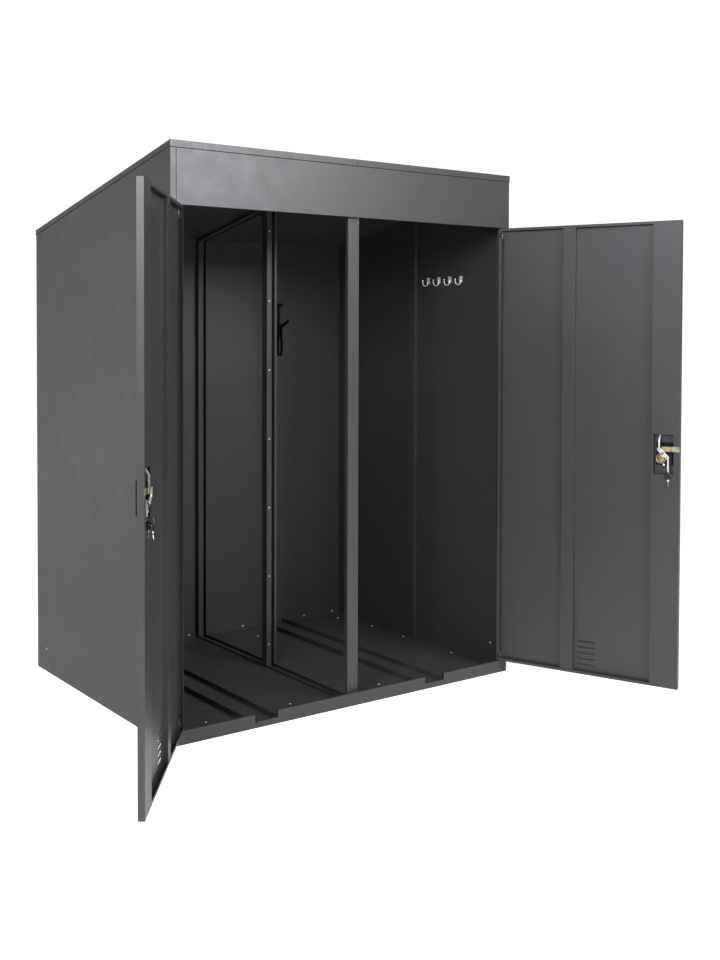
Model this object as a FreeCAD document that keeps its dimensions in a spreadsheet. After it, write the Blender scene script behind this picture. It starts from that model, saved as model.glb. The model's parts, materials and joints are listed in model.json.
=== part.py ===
import FreeCAD, Part
import os
import math
import Sketcher
from FreeCAD import Vector, Placement, Rotation

# Double bicycle locker: a sheet steel cabinet with a lean-to roof, two bays,
# two outward opening doors with three-point locks, a wheel channel in each
# floor, and hooks and a wheel strap in each bay.
#
# Working coordinates of the sheet and of all sketches of the cabinet:
# x to the right from the left side, y to the back from the front plane, z up
# from the ground, millimetres. Every cabinet piece is then shifted so that
# the part's origin is the middle of the base.

doc = FreeCAD.newDocument("bicycle_locker")
sheet = doc.addObject("Spreadsheet::Sheet", "Sizes")

SIZES = [
    ("width", 1500), ("depth", 1150), ("front_height", 1975), ("rear_height", 1760),
    ("gauge", 1.5), ("roof_lip", 23), ("side_lip", 19), ("base_rim", 10),
    ("post_face", 20.3), ("post_reveal", 26), ("post_stop", 38),
    ("sill_height", 46.5), ("sill_depth", 13),
    ("header_bottom", 1768), ("header_flange", 20), ("header_lip", 22),
    ("channel_left_from", 312), ("channel_right_from", 1073), ("channel_width", 105),
    ("channel_height", 18), ("notch_width", 93), ("notch_bottom", 21),
    ("notch_left_from", 321), ("notch_right_from", 1078),
    ("centre_post_from", 726), ("centre_post_width", 48), ("centre_post_front", 21.5),
    ("centre_post_depth", 16), ("strike_low", 915), ("strike_high", 966),
    ("side_seam", 585), ("side_channel_from", 566), ("side_channel_width", 38),
    ("side_channel_depth", 14),
    ("stile_from", 724.5), ("slot_from", 747), ("slot_to", 761), ("stile_to", 771),
    ("mid_stile_front", 566), ("mid_stile_depth", 37), ("mid_slot", 24),
    ("rear_stile_front", 1124), ("rear_slot", 20), ("rail_height", 15),
    ("trench_from", 741), ("trench_to", 770.5), ("stile_foot", 16.5),
    ("door_width", 724), ("door_bottom", 50), ("door_top", 1765), ("door_thick", 20),
    ("door_gap", 22.5), ("pivot_inset", 8.5), ("pivot_back", 4.5),
    ("open_left", 126.4), ("open_right", 111.5),
    ("hinge_lip", 13), ("door_lip", 10), ("stile_at", 620),
    ("hat_from", 268), ("hat_to", 319), ("hat_foot", 9),
    ("vent_from", 335), ("vent_to", 403), ("vent_low", 84), ("vent_pitch", 22), ("vent_height", 6),
    ("hood_out", 4.5), ("hood_half", 4.5), ("hood_over", 2),
    ("pin_radius", 2.9), ("bush_bore", 2.96), ("bush_radius", 5),
    ("window_from", 628), ("window_to", 703), ("window_low", 836), ("window_high", 983.6),
    ("pan_low", 871), ("pan_high", 953),
    ("lock_across", 666), ("lock_up", 916),
    ("spindle_radius", 5), ("knob_radius", 23), ("plug_radius", 7), ("plug_clear", 0.05),
    ("bolt_low", 922), ("bolt_high", 940), ("bolt_back", 23.4), ("bolt_thick", 2.5), ("bolt_reach", 693),
    ("cam_back", 26.6), ("rod_radius", 3.5), ("rod_back", 7), ("rod_up_at", 649), ("rod_down_at", 682.5),
    ("key_radius", 12), ("hook_pitch", 70), ("hook_first", 280),
]
for row, (alias, value) in enumerate(SIZES, 1):
    sheet.set("A%d" % row, alias)
    sheet.set("B%d" % row, str(value))
    sheet.setAlias("B%d" % row, alias)
doc.recompute()


class Size:
    """A length with its number and the sheet formula it comes from."""

    def __init__(self, number, formula):
        self.number = float(number)
        self.formula = formula

    @staticmethod
    def of(value):
        if isinstance(value, Size):
            return value
        return Size(value, repr(float(value)))

    def __add__(self, other):
        other = Size.of(other)
        return Size(self.number + other.number, "(%s + %s)" % (self.formula, other.formula))

    def __radd__(self, other):
        return Size.of(other) + self

    def __sub__(self, other):
        other = Size.of(other)
        return Size(self.number - other.number, "(%s - %s)" % (self.formula, other.formula))

    def __rsub__(self, other):
        return Size.of(other) - self

    def __mul__(self, other):
        other = Size.of(other)
        return Size(self.number * other.number, "(%s * %s)" % (self.formula, other.formula))

    def __rmul__(self, other):
        return Size.of(other) * self

    def __truediv__(self, other):
        other = Size.of(other)
        return Size(self.number / other.number, "(%s / %s)" % (self.formula, other.formula))

    def __neg__(self):
        return Size(-self.number, "(-1.0 * %s)" % self.formula)


SHEET = {}
for alias, value in SIZES:
    SHEET[alias] = Size(sheet.get(alias), "Sizes." + alias)


def q(alias):
    return SHEET[alias]


W, D, HF, HR, T = q("width"), q("depth"), q("front_height"), q("rear_height"), q("gauge")
SLOPE = (HF - HR) / D

LABELS = []


def new_body(label):
    body = doc.addObject("PartDesign::Body", label)
    body.Label = label
    LABELS.append(body)
    return body


def in_cabinet(body):
    """Shift a cabinet piece from the working corner to the part's origin."""
    body.Placement = Placement(Vector(-W.number / 2, -D.number / 2, 0), Rotation())
    body.setExpression("Placement.Base.x", "-%s / 2" % W.formula)
    body.setExpression("Placement.Base.y", "-%s / 2" % D.formula)
    return body


def fix_point(sk, geo, pos, x, y):
    for axis, value, line in (("DistanceX", Size.of(x), -2), ("DistanceY", Size.of(y), -1)):
        if abs(value.number) < 1e-9:
            sk.addConstraint(Sketcher.Constraint("PointOnObject", geo, pos, line))
        elif value.number > 0:
            at = sk.addConstraint(Sketcher.Constraint(axis, -1, 1, geo, pos, value.number))
            sk.setExpression("Constraints[%d]" % at, value.formula)
        else:
            at = sk.addConstraint(Sketcher.Constraint(axis, geo, pos, -1, 1, -value.number))
            sk.setExpression("Constraints[%d]" % at, (-value).formula)


def sketch(body, plane, loops, offset):
    sk = body.newObject("Sketcher::SketchObject", body.Label + "_sketch")
    role = {"XY": "XY_Plane", "XZ": "XZ_Plane", "YZ": "YZ_Plane"}[plane]
    face = [f for f in body.Origin.OriginFeatures if f.Role == role][0]
    sk.AttachmentSupport = [(face, "")]
    sk.MapMode = "FlatFace"
    offset = Size.of(offset)
    sk.AttachmentOffset = Placement(Vector(0, 0, offset.number), Rotation())
    sk.setExpression("AttachmentOffset.Base.z", offset.formula)
    for loop in loops:
        if isinstance(loop, tuple):
            cx, cy, r = loop
            g = sk.addGeometry(Part.Circle(Vector(Size.of(cx).number, Size.of(cy).number, 0),
                                           Vector(0, 0, 1), Size.of(r).number), False)
            fix_point(sk, g, 3, cx, cy)
            at = sk.addConstraint(Sketcher.Constraint("Radius", g, Size.of(r).number))
            sk.setExpression("Constraints[%d]" % at, Size.of(r).formula)
            continue
        first = sk.GeometryCount
        pts = [Vector(Size.of(x).number, Size.of(y).number, 0) for x, y in loop]
        count = len(pts)
        for i in range(count):
            sk.addGeometry(Part.LineSegment(pts[i], pts[(i + 1) % count]), False)
        for i in range(count):
            sk.addConstraint(Sketcher.Constraint("Coincident", first + i, 2, first + (i + 1) % count, 1))
        for i, (x, y) in enumerate(loop):
            fix_point(sk, first + i, 1, x, y)
    return sk


def pad(body, plane, loops, low, high):
    """Add material over loops, from low to high along the plane's axis."""
    low, high = Size.of(low), Size.of(high)
    sk = sketch(body, plane, loops, -high if plane == "XZ" else low)
    feature = body.newObject("PartDesign::Pad", body.Label + "_pad")
    feature.Profile = sk
    feature.Length = (high - low).number
    feature.setExpression("Length", (high - low).formula)
    sk.Visibility = False
    return feature


def pocket(body, plane, loops, low, high):
    """Take material away over loops, from low to high along the plane's axis."""
    low, high = Size.of(low), Size.of(high)
    sk = sketch(body, plane, loops, -low if plane == "XZ" else high)
    feature = body.newObject("PartDesign::Pocket", body.Label + "_pocket")
    feature.Profile = sk
    feature.Length = (high - low).number
    feature.setExpression("Length", (high - low).formula)
    sk.Visibility = False
    return feature


def rect(x0, x1, y0, y1):
    x0, x1 = Size.of(x0), Size.of(x1)
    if x1.number < x0.number:
        x0, x1 = x1, x0
    return [(x0, y0), (x1, y0), (x1, y1), (x0, y1)]


def roof_at(y):
    return HF - SLOPE * Size.of(y)


def cut_under_roof(body, y0, y1, x0, x1, drop=None):
    """Slope the top of a piece to the underside of the roof sheet."""
    drop = T if drop is None else drop
    y0, y1 = Size.of(y0) - 2, Size.of(y1) + 2
    pocket(body, "YZ", [[(y0, roof_at(y0) - drop), (y1, roof_at(y1) - drop),
                         (y1, HF + 60), (y0, HF + 60)]], Size.of(x0) - 2, Size.of(x1) + 2)


# ---------------------------------------------------------------- base
b = in_cabinet(new_body("floor_pan"))
pad(b, "XY", [rect(T, W - T, T, D - T)], 0, q("base_rim"))
# hollow underneath, with one flat rib left along the middle that stands on the ground
pocket(b, "XY", [rect(T * 2, W / 2 - 24, T * 2, D - T * 2), rect(W / 2 + 24, W - T * 2, T * 2, D - T * 2)],
       -1, q("base_rim") - T)
# trench along the rib for the bottom rail of the partition
pocket(b, "XY", [rect(q("trench_from"), q("trench_to"), q("centre_post_front") + q("centre_post_depth") + 0.3, D)],
       2, q("base_rim") + 1)
# four anchor holes for bolting the base to the ground
pocket(b, "XY", [(70, 90, 5.5), (W - 70, 90, 5.5), (70, D - 90, 5.5), (W - 70, D - 90, 5.5)],
       q("base_rim") - T - 1, q("base_rim") + 1)

for side, start in (("left", q("channel_left_from")), ("right", q("channel_right_from"))):
    b = in_cabinet(new_body("wheel_channel_" + side))
    end = start + q("channel_width")
    z0 = q("base_rim")
    pad(b, "XZ", [[(start, z0), (end, z0), (end, z0 + q("channel_height")),
                   (end - T, z0 + q("channel_height")), (end - T, z0 + T), (start + T, z0 + T),
                   (start + T, z0 + q("channel_height")), (start, z0 + q("channel_height"))]],
        q("sill_depth") + 0.5, D - T)

b = in_cabinet(new_body("front_sill"))
sx0, sx1 = q("post_face") + 0.7, W - q("post_face") - 0.7
pad(b, "YZ", [[(0, 0), (T, 0), (T, q("sill_height") - T), (q("sill_depth") - T, q("sill_height") - T),
               (q("sill_depth") - T, q("base_rim")), (q("sill_depth"), q("base_rim")),
               (q("sill_depth"), q("sill_height")), (0, q("sill_height"))]], sx0, sx1)
for start in (q("notch_left_from"), q("notch_right_from")):
    pocket(b, "XZ", [rect(start, start + q("notch_width"), q("notch_bottom"), q("sill_height") + 2)],
           -1, q("sill_depth") + 1)
pivot_x = q("door_gap") + q("pivot_inset")
rod_down_x = q("door_gap") + q("rod_down_at")
rod_up_x = q("door_gap") + q("rod_up_at")
pocket(b, "XY", [(pivot_x, q("pivot_back"), q("bush_radius") - 1.2), (W - pivot_x, q("pivot_back"), q("bush_radius") - 1.2),
                 (rod_down_x, q("rod_back"), q("rod_radius") + 1), (W - rod_down_x, q("rod_back"), q("rod_radius") + 1)],
       q("sill_height") - T - 1, q("sill_height") + 1)

# ---------------------------------------------------------------- sides and back
for side in ("left", "right"):
    x0, x1 = (Size.of(0), T) if side == "left" else (W - T, W)
    b = in_cabinet(new_body("side_panel_%s_front" % side))
    pad(b, "YZ", [[(T, 0), (q("side_seam"), 0), (q("side_seam"), roof_at(q("side_seam")) - T),
                   (T, roof_at(T) - T)]], x0, x1)
    b = in_cabinet(new_body("side_panel_%s_rear" % side))
    pad(b, "YZ", [[(q("side_seam"), 0), (D - T, 0), (D - T, roof_at(D - T) - T),
                   (q("side_seam"), roof_at(q("side_seam")) - T)]], x0, x1)
    # shallow channel that joins the two panels inside
    b = in_cabinet(new_body("side_channel_" + side))
    y0, y1, dp = q("side_channel_from"), q("side_channel_from") + q("side_channel_width"), q("side_channel_depth")
    if side == "left":
        pts = [(T, y0), (T + dp, y0), (T + dp, y1), (T, y1), (T, y1 - T), (dp, y1 - T), (dp, y0 + T), (T, y0 + T)]
        lo, hi = T, T + dp
    else:
        pts = [(W - T, y0), (W - T - dp, y0), (W - T - dp, y1), (W - T, y1), (W - T, y1 - T),
               (W - dp, y1 - T), (W - dp, y0 + T), (W - T, y0 + T)]
        lo, hi = W - T - dp, W - T
    pad(b, "XY", [pts], q("base_rim"), roof_at(y0) + 5)
    cut_under_roof(b, y0, y1, lo, hi)

b = in_cabinet(new_body("back_panel_left"))
pad(b, "XZ", [rect(0, W / 2, 0, HR - T)], D - T, D)
b = in_cabinet(new_body("back_panel_right"))
pad(b, "XZ", [rect(W / 2, W, 0, HR - T)], D - T, D)

# ---------------------------------------------------------------- front frame
for side in ("left", "right"):
    b = in_cabinet(new_body("corner_post_" + side))
    pf, pr, ps = q("post_face"), q("post_reveal"), q("post_stop")
    prof = [(0, 0), (pf, 0), (pf, pr - T), (ps, pr - T), (ps, pr), (pf - T, pr), (pf - T, T), (0, T)]
    if side == "right":
        prof = [(W - x, y) for x, y in prof]
    pad(b, "XY", [prof], 0, roof_at(0) - T)
    cut_under_roof(b, 0, pr, *((0, ps) if side == "left" else (W - ps, W)))
    # only the front face reaches the ground, the rest stands on the floor pan
    lo, hi = (Size.of(-1), ps + 1) if side == "left" else (W - ps - 1, W + 1)
    pocket(b, "XY", [rect(lo, hi, T, pr + 1)], -1, q("base_rim"))

b = in_cabinet(new_body("header_fascia"))
hb, hfl, hl = q("header_bottom"), q("header_flange"), q("header_lip")
hx0, hx1 = q("post_face") + 1.8, W - q("post_face") - 1.8
pad(b, "YZ", [[(0, hb), (hfl, hb), (hfl, hb + hl), (hfl - T, hb + hl), (hfl - T, hb + T),
               (T, hb + T), (T, roof_at(T) - T), (0, roof_at(T) - T)]], hx0, hx1)
pocket(b, "XY", [(pivot_x, q("pivot_back"), q("bush_radius") - 1.2), (W - pivot_x, q("pivot_back"), q("bush_radius") - 1.2),
                 (rod_up_x, q("rod_back"), q("rod_radius") + 1), (W - rod_up_x, q("rod_back"), q("rod_radius") + 1)],
       hb - 1, hb + T + 1)

b = in_cabinet(new_body("centre_post"))
cx0, cw, cf, cd = q("centre_post_from"), q("centre_post_width"), q("centre_post_front"), q("centre_post_depth")
cx1 = cx0 + cw
pad(b, "XY", [[(cx0, cf), (cx1, cf), (cx1, cf + cd), (cx1 - T, cf + cd), (cx1 - T, cf + T),
               (cx0 + T, cf + T), (cx0 + T, cf + cd), (cx0, cf + cd)]], q("base_rim"), HF - 2)
cut_under_roof(b, cf, cf + cd, cx0, cx1)
# strike slots for the two lock bolts, one in each flange, close behind the face
pocket(b, "YZ", [rect(cf + T, cf + T + 7.5, q("strike_low"), q("strike_high"))], cx0 - 1, cx1 + 1)

# ---------------------------------------------------------------- roof, two halves
for side in ("left", "right"):
    b = in_cabinet(new_body("roof_" + side))
    x0, x1 = (-T, W / 2 - 0.9) if side == "left" else (W / 2 + 0.9, W + T)
    y0, y1 = -T, D + T
    pad(b, "YZ", [[(y0, roof_at(0) - q("roof_lip")), (0, roof_at(0) - q("roof_lip")), (0, roof_at(0) - q("side_lip")),
                   (y1, roof_at(D) - q("side_lip")), (y1, roof_at(D)), (y0, roof_at(0))]], x0, x1)
    i0, i1 = (Size.of(0), W / 2 + 1) if side == "left" else (W / 2 - 1, W)
    pocket(b, "YZ", [[(0, roof_at(0) - q("roof_lip") - 8), (D, roof_at(D) - q("roof_lip") - 8),
                      (D, roof_at(D) - T), (0, roof_at(0) - T)]], i0, i1)

# ---------------------------------------------------------------- open partition frame
st0, st1 = q("stile_from"), q("stile_to")
sf, sg = q("slot_from"), q("slot_to")


def stile_section(y0, y1, deep):
    """One sheet folded round a slot in the front: face, slot, narrow face, two flanges."""
    return [(st0, y0), (sf, y0), (sf, y0 + deep), (sg, y0 + deep), (sg, y0), (st1, y0),
            (st1, y1), (st1 - T, y1), (st1 - T, y0 + T), (sg + T, y0 + T), (sg + T, y0 + deep + T),
            (sf - T, y0 + deep + T), (sf - T, y0 + T), (st0 + T, y0 + T), (st0 + T, y1), (st0, y1)]


b = in_cabinet(new_body("partition_mid_stile"))
my0, my1 = q("mid_stile_front"), q("mid_stile_front") + q("mid_stile_depth")
pad(b, "XY", [stile_section(my0, my1, q("mid_slot"))], q("stile_foot"), roof_at(my0))
cut_under_roof(b, my0, my1, st0, st1, T + q("rail_height"))
b = in_cabinet(new_body("partition_rear_stile"))
ry0, ry1 = q("rear_stile_front"), D - T
pad(b, "XY", [stile_section(ry0, ry1, q("rear_slot"))], q("stile_foot"), roof_at(ry0))
cut_under_roof(b, ry0, ry1, st0, st1, T + q("rail_height"))
# bottom rail: a channel that lies in the floor's trench, with a ledge to the left
b = in_cabinet(new_body("partition_bottom_rail"))
z0, z1 = q("base_rim"), q("stile_foot")
bt0, bt1 = q("trench_from") + 0.5, q("trench_to") - 0.5
pad(b, "XZ", [[(st0, z0), (st0 + T, z0), (st0 + T, z1 - T), (bt0, z1 - T), (bt0, 2), (bt1, 2), (bt1, z1 - 1),
               (bt1 - T, z1 - 1), (bt1 - T, T + 2), (bt0 + T, T + 2), (bt0 + T, z1), (st0, z1)]],
    cf + cd + 0.5, D - T)
b = in_cabinet(new_body("partition_top_rail"))
ty0, ty1 = cf + cd + 0.5, D - T
rl = q("rail_height")


def under_roof(low, high):
    """A band that follows the roof, low and high below the roof's outer face."""
    return [[(ty0 - 1, roof_at(ty0 - 1) - low), (ty1 + 1, roof_at(ty1 + 1) - low),
             (ty1 + 1, roof_at(ty1 + 1) - high), (ty0 - 1, roof_at(ty0 - 1) - high)]]


pad(b, "YZ", [[(ty0, roof_at(ty0) - T - rl), (ty1, roof_at(ty1) - T - rl),
               (ty1, roof_at(ty1) - T), (ty0, roof_at(ty0) - T)]], st0, st1)
pocket(b, "YZ", under_roof(rl, -5), st0 + T, sf - T)
pocket(b, "YZ", under_roof(rl, -5), sg + T, st1 - T)
pocket(b, "YZ", under_roof(rl + T + 5, T * 2), sf, sg)

# ---------------------------------------------------------------- hooks in the bays
rails = []
for side in ("left", "right"):
    box = doc.addObject("Part::Box", "rail_" + side)
    box.setExpression("Length", "2")
    box.setExpression("Width", "(%s * 3 + 75)" % q("hook_pitch").formula)
    box.setExpression("Height", "28")
    box.Placement = Placement(Vector(0, 0, 1562), Rotation())
    box.setExpression("Placement.Base.x", "%s - %s / 2" % (T.formula, W.formula) if side == "left"
                      else "%s / 2 - %s - 2" % (W.formula, T.formula))
    box.setExpression("Placement.Base.y", "%s - 55 - %s / 2" % (q("hook_first").formula, D.formula))
    rails.append(box)
group = doc.addObject("Part::Compound", "coat_hook_rails")
group.Links = rails
group.Label = "coat_hook_rails"
LABELS.append(group)


def part_shape(label, solids, placement):
    """A group of identical small pieces, each its own solid."""
    feature = doc.addObject("Part::Feature", label)
    feature.Label = label
    feature.Shape = Part.makeCompound(solids) if len(solids) > 1 else solids[0]
    feature.Placement = placement
    LABELS.append(feature)
    return feature


CAB = Placement(Vector(-W.number / 2, -D.number / 2, 0), Rotation())
w, d = W.number, D.number
g = T.number


def bent_bar(points, width_axis, width, thick, at):
    """A flat bar bent along points in a plane, width across it."""
    # points are (u, z) pairs, u away from the wall
    solids = []
    pts = [Vector(p[0], 0, p[1]) for p in points]
    left, right = [], []
    n = len(pts)
    for i in range(n):
        if i == 0:
            dirn = pts[1] - pts[0]
        elif i == n - 1:
            dirn = pts[-1] - pts[-2]
        else:
            a = (pts[i] - pts[i - 1]).normalize()
            c = (pts[i + 1] - pts[i]).normalize()
            dirn = a + c
        dirn.normalize()
        nrm = Vector(-dirn.z, 0, dirn.x)
        scale = 1.0
        if 0 < i < n - 1:
            a = (pts[i] - pts[i - 1]).normalize()
            scale = 1.0 / max(0.5, Vector(-a.z, 0, a.x).dot(nrm))
        left.append(pts[i] + nrm * (thick / 2 * scale))
        right.append(pts[i] - nrm * (thick / 2 * scale))
    ring = left + right[::-1]
    face = Part.Face(Part.makePolygon(ring + [ring[0]]))
    solid = face.extrude(Vector(0, width, 0))
    solid.translate(Vector(0, at - width / 2, 0))
    return solid


def many_sided(pos, axis, rings, sides=16):
    """A stack of even-sided rings, (radius, height) pairs along the axis, closed at both ends."""
    loops = []
    for radius, height in rings:
        loops.append([Vector(radius * math.cos(2 * math.pi * (i + 0.5) / sides),
                             radius * math.sin(2 * math.pi * (i + 0.5) / sides), height)
                      for i in range(sides)])
    faces = [Part.Face(Part.makePolygon(loops[0] + [loops[0][0]])),
             Part.Face(Part.makePolygon(loops[-1] + [loops[-1][0]]))]
    for low, high in zip(loops, loops[1:]):
        for i in range(sides):
            j = (i + 1) % sides
            faces.append(Part.Face(Part.makePolygon([low[i], low[j], high[j], high[i], low[i]])))
    solid = Part.makeSolid(Part.makeShell(faces))
    if solid.Volume < 0:
        solid.reverse()
    solid.Placement = Placement(Vector(*pos), Rotation(Vector(0, 0, 1), Vector(*axis)))
    return solid


# J-shaped coat hooks, four on each rail: a flat tab, and a bar that comes
# forward from its lower end and turns up to a ball at the tip
hooks = []
J = [(2.3, 1576), (2.5, 1565), (5.4, 1557.6), (11, 1553.6), (18, 1553.3), (25, 1556), (29.8, 1561.5),
     (31.6, 1569), (31.6, 1576)]
for i in range(4):
    y = SHEET["hook_first"].number + SHEET["hook_pitch"].number * i
    bar = bent_bar(J, "y", 4.6, 4.6, y)
    tab = Part.makeBox(2, 18, 28, Vector(0, y - 9, 1562))
    tip = many_sided((31.6, y, 1572.6), (0, 0, 1), [(2.2, 0), (3.4, 1.6), (3.5, 4.2), (2.4, 6.2)], 12)
    bar = bar.fuse([tab, tip]).removeSplitter()
    left_hook = bar.copy()
    left_hook.translate(Vector(g + 2, 0, 0))
    right_hook = bar.mirror(Vector(0, 0, 0), Vector(1, 0, 0))
    right_hook.translate(Vector(w - g - 2, 0, 0))
    hooks.append(left_hook)
    hooks.append(right_hook)
part_shape("coat_hooks", hooks, CAB)

# wheel hook on the back wall of each bay: a plate, a thick slanted prong that
# carries the rim, a short prong with a knob above it, and a loop of webbing
# that hangs over the thick prong
wheel_hooks, straps = [], []
for cx in (364.5, 1143.5):
    plate = Part.makeBox(34, 4, 125, Vector(cx - 17, d - g - 4, 1360))
    wall, nose = Vector(cx, d - g - 3, 1363.5), Vector(cx, d - g - 99, 1403.5)
    prong = Part.makeCylinder(6.5, (nose - wall).Length, wall, nose - wall)
    prong = prong.common(Part.makeBox(40, 98.5, 80, Vector(cx - 20, d - g - 2 - 98.5, 1340)))
    tip = many_sided(nose - (nose - wall).normalize() * 2, (nose - wall), [(6.3, 0), (6.0, 4), (4.4, 6.4), (2, 7.4)], 16)
    back, out = Vector(cx, d - g - 3, 1471), Vector(cx, d - g - 40, 1477)
    arm = Part.makeCylinder(4.5, (out - back).Length, back, out - back)
    knob = many_sided(out - (out - back).normalize() * 2, (out - back), [(4.6, 0), (7.6, 2), (8, 5), (7, 8), (3.5, 9.6)], 16)
    wheel_hooks.append(plate.fuse([prong, tip, arm, knob]).removeSplitter())
    outer = [(0, 1390), (6.5, 1388), (10, 1381), (10.6, 1340), (10.2, 1303), (8.5, 1265), (5, 1248.5), (0, 1244)]
    inner = [(0, 1387), (5.8, 1385.2), (7.8, 1379.6), (8.2, 1340), (7.8, 1303), (6.1, 1267), (3.2, 1251), (0, 1247)]

    def ring_face(half):
        pts = half + [(-x, z) for x, z in half[-2:0:-1]]
        pts = [Vector(cx + x, d - g - 38, z) for x, z in pts]
        return Part.Face(Part.makePolygon(pts + [pts[0]]))

    loop = ring_face(outer).cut(ring_face(inner)).extrude(Vector(0, 19, 0))
    tail = [(-10.3, 1345), (-13.0, 1336), (-13.8, 1271), (-11.3, 1271), (-10.2, 1325)]
    tail = [Vector(cx + x, d - g - 36, z) for x, z in tail]
    tail = Part.Face(Part.makePolygon(tail + [tail[0]])).extrude(Vector(0, 16, 0))
    straps.append(loop.fuse(tail).removeSplitter())
part_shape("wheel_hooks", wheel_hooks, CAB)
part_shape("wheel_straps", straps, CAB)

# ---------------------------------------------------------------- hinge bushes
PX, PY = pivot_x.number, SHEET["pivot_back"].number
bore, bush_r = SHEET["bush_bore"].number, SHEET["bush_radius"].number
sh, hbz = SHEET["sill_height"].number, SHEET["header_bottom"].number


def ring_z(x, y, z0, z1, r_out, r_in):
    outer = Part.makeCylinder(r_out, z1 - z0, Vector(x, y, z0))
    return outer.cut(Part.makeCylinder(r_in, z1 - z0 + 2, Vector(x, y, z0 - 1)))


bushes = []
neck = bush_r - 1.2
for x in (PX, w - PX):
    low = ring_z(x, PY, sh, sh + 3.2, bush_r - 0.6, bore).fuse(ring_z(x, PY, sh - g - 1, sh, neck, bore))
    high = ring_z(x, PY, hbz - 1.2, hbz, bush_r - 0.6, bore).fuse(ring_z(x, PY, hbz, hbz + g + 0.9, neck, bore))
    bushes += [low.removeSplitter(), high.removeSplitter()]
part_shape("hinge_bushes", bushes, CAB)

# ---------------------------------------------------------------- fasteners
slope = SLOPE.number


def dome(pos, axis, r, head):
    """A low domed head."""
    return many_sided(pos, axis, [(r, 0), (r, head * 0.3), (r * 0.86, head * 0.72), (r * 0.55, head)])


rivets = []
for i in range(7):
    rivets.append(dome(((st0.number + sf.number) / 2, SHEET["mid_stile_front"].number, 101 + 275.5 * i),
                       (0, -1, 0), 3.2, 1.4))
part_shape("partition_rivets", rivets, CAB)

post_screws = []
for z in (1752, 1244, 575, 66):
    for x in (742, 758):
        post_screws.append(dome((x, SHEET["centre_post_front"].number, z), (0, -1, 0), 2.2, 0.35))
part_shape("centre_post_screws", post_screws, CAB)

br = SHEET["base_rim"].number
floor_screws = []
for x, y in ((547, 127), (547, 1000), (200, 127), (200, 1000), (953, 127), (953, 1000),
             (w - 30, 297), (w - 30, 619), (w - 30, 848), (30, 297), (30, 619), (30, 848)):
    floor_screws.append(dome((x, y, br), (0, 0, 1), 4.2, 2.0))
part_shape("floor_screws", floor_screws, CAB)

wall_screws = []
for x in (40, 201, 535, 690, 965, 1299, 1464 - 4):
    wall_screws.append(dome((x, d - g, br + 12), (0, -1, 0), 4.0, 2.0))
for z in (94, 1740):
    wall_screws.append(dome((g, 91, z), (1, 0, 0), 4.0, 2.0))
    wall_screws.append(dome((w - g, 91, z), (-1, 0, 0), 4.0, 2.0))
for z in (214, 980, 1500):
    wall_screws.append(dome((g, 885, z), (1, 0, 0), 3.0, 1.2))
    wall_screws.append(dome((w - g, 885, z), (-1, 0, 0), 3.0, 1.2))
part_shape("wall_screws", wall_screws, CAB)

side_screws = []
for y in (92, d - 92):
    for z in (90,):
        side_screws.append(dome((0, y, z), (-1, 0, 0), 5.0, 1.4))
        side_screws.append(dome((w, y, z), (1, 0, 0), 5.0, 1.4))
part_shape("side_screws", side_screws, CAB)


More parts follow.
